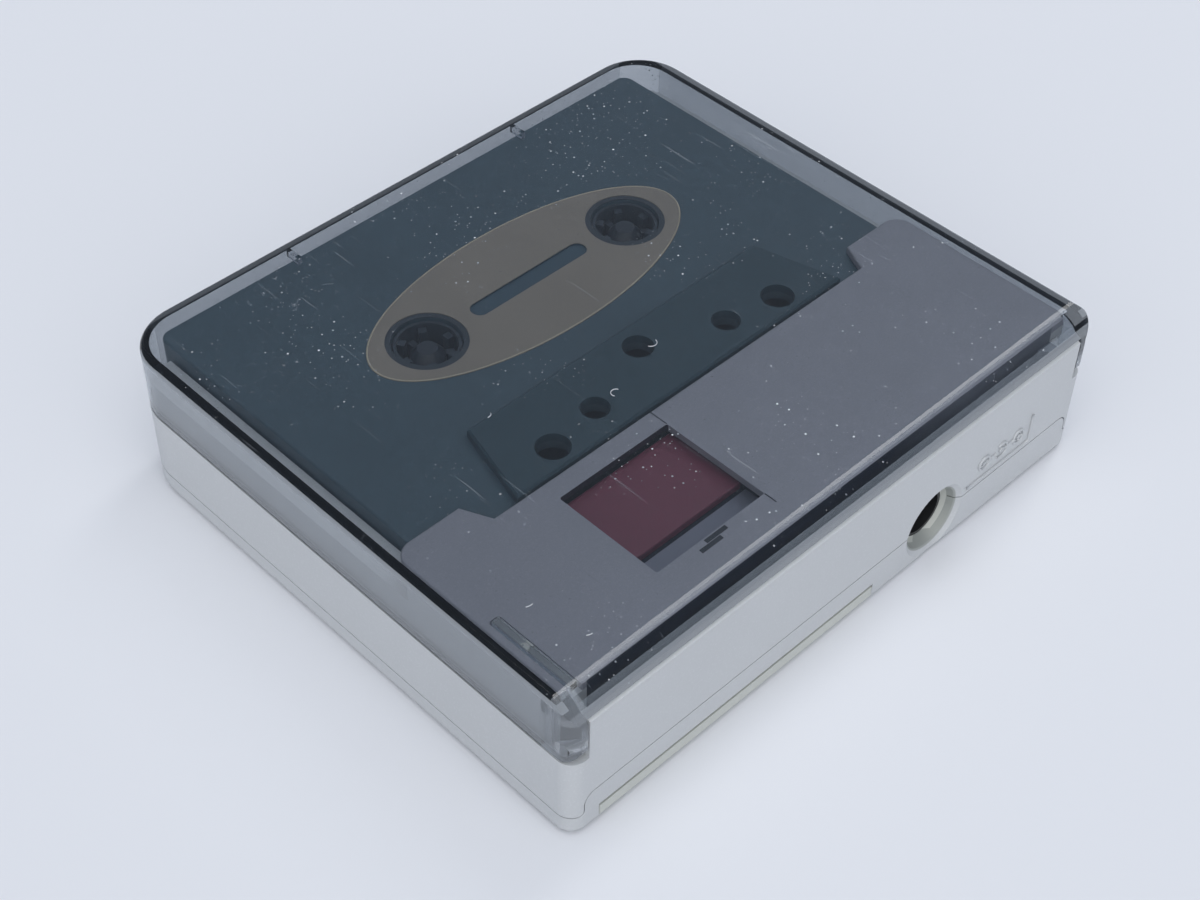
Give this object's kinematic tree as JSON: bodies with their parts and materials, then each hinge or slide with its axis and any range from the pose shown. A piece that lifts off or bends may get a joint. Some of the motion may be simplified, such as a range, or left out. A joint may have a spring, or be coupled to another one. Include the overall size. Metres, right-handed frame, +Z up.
{
  "type": "cassette tape eraser",
  "caption": "Flat battery-powered cassette winder and eraser: a smoked clear hinged lid shut over a loaded tape cassette, with a sliding erase plate, battery door and power jack.",
  "frame": {"origin": "on the table under the middle of the case", "axes": "+Z up, -Y towards the side where the lid opens, +Y towards the hinge and the power jack, +X along the hinge towards the side with the battery door"},
  "size_m": [0.1122, 0.0992, 0.0276],
  "materials": {
    "silver_plastic": "satin",
    "ivory_plastic": "satin",
    "smoked_acrylic": "polished",
    "cassette_plastic": "satin",
    "cassette_paper": "matte",
    "window_plastic": "polished",
    "hub_plastic": "satin",
    "tape_film": "glossy",
    "felt": "matte",
    "red_plastic": "satin",
    "black_plastic": "matte",
    "white_plastic": "satin",
    "black_rubber": "matte",
    "cell_case": "satin",
    "plated_steel": "satin",
    "brass": "satin",
    "board_laminate": "satin",
    "magnet": "satin"
  },
  "bodies": {
    "base": {"upper_case": "silver_plastic", "lower_case": "silver_plastic", "deck_panel": "silver_plastic", "battery_cradle": "black_plastic", "battery_cells": "cell_case", "battery_contacts": "plated_steel", "dc_jack": "black_plastic", "jack_shroud": "ivory_plastic", "circuit_board": "board_laminate", "board_parts": "black_plastic", "motor_can": "plated_steel", "motor_cap": "black_plastic", "drive_belt": "black_rubber", "chassis_plate": "plated_steel", "spindle_bushes": "brass", "gear_axles": "plated_steel", "axle_clips": "plated_steel", "brake_felt": "felt", "arm_pivot": "plated_steel", "hinge_pins": "plated_steel", "lid_switch": "black_plastic", "case_screws": "plated_steel", "chassis_screws": "plated_steel", "rubber_feet": "black_rubber", "cassette_shell_upper": "cassette_plastic", "cassette_shell_lower": "cassette_plastic", "cassette_label": "cassette_paper", "cassette_window": "window_plastic", "pressure_pad": "felt", "cassette_rollers": "hub_plastic", "tape_run": "tape_film", "cassette_screws": "plated_steel"},
    "lid": {"lid": "smoked_acrylic"},
    "battery_door": {"battery_door": "ivory_plastic", "door_foot": "black_rubber"},
    "erase_slider": {"erase_slider": "red_plastic"},
    "magnet_arm": {"magnet_arm": "white_plastic", "erase_magnet": "magnet"},
    "motor_rotor": {"motor_pulley": "brass"},
    "belt_pulley": {"belt_pulley": "white_plastic"},
    "idler_gear": {"idler_gear": "white_plastic"},
    "take_up": {"drive_gear": "white_plastic", "take_up_spindle": "white_plastic", "cassette_hub_left": "hub_plastic", "tape_pack_left": "tape_film"},
    "supply": {"supply_spindle": "white_plastic", "cassette_hub_right": "hub_plastic", "tape_pack_right": "tape_film"},
    "switch_plunger": {"switch_plunger": "white_plastic"}
  },
  "joints": [
    {"name": "lid_hinge", "type": "hinge", "parent": "base", "child": "lid", "pos_m": [0, 0.04745, 0.0187], "axis": [-1, 0, 0], "range_deg": [0, 85]},
    {"name": "battery_door_slide", "type": "slide", "parent": "base", "child": "battery_door", "axis": [0, 1, 0], "range_m": [0, 0.03]},
    {"name": "erase_slide", "type": "slide", "parent": "base", "child": "erase_slider", "axis": [0, 1, 0], "range_m": [0, 0.005]},
    {"name": "magnet_swing", "type": "hinge", "parent": "base", "child": "magnet_arm", "pos_m": [0.005, 0.021, 0.0197], "axis": [0, 0, 1], "range_deg": [0, 20]},
    {"name": "take_up_spin", "type": "hinge", "parent": "base", "child": "take_up", "pos_m": [-0.02155, -0.0187, 0.0105], "axis": [0, 0, 1], "continuous": true},
    {"name": "idler_spin", "type": "hinge", "parent": "base", "child": "idler_gear", "pos_m": [-0.02954, -0.00157, 0.0046], "axis": [0, 0, 1], "continuous": true},
    {"name": "pulley_spin", "type": "hinge", "parent": "base", "child": "belt_pulley", "pos_m": [-0.02324, 0.00934, 0.0074], "axis": [0, 0, 1], "continuous": true},
    {"name": "motor_spin", "type": "hinge", "parent": "base", "child": "motor_rotor", "pos_m": [-0.038, 0.0325, 0.0074], "axis": [0, 0, 1], "continuous": true},
    {"name": "supply_spin", "type": "hinge", "parent": "base", "child": "supply", "pos_m": [0.02095, -0.0187, 0.0105], "axis": [0, 0, 1], "continuous": true},
    {"name": "plunger_slide", "type": "slide", "parent": "base", "child": "switch_plunger", "axis": [0, 0, 1], "range_m": [0, 0.0008]}
  ],
  "couplings": [
    {"joint": "magnet_swing", "follows": "erase_slide", "rad_per_m": 68.605},
    {"joint": "idler_spin", "follows": "take_up_spin", "ratio": -1.25},
    {"joint": "pulley_spin", "follows": "take_up_spin", "ratio": 2.5},
    {"joint": "motor_spin", "follows": "take_up_spin", "ratio": 9.6698},
    {"joint": "plunger_slide", "follows": "lid_hinge", "m_per_rad": 0.0005393}
  ]
}
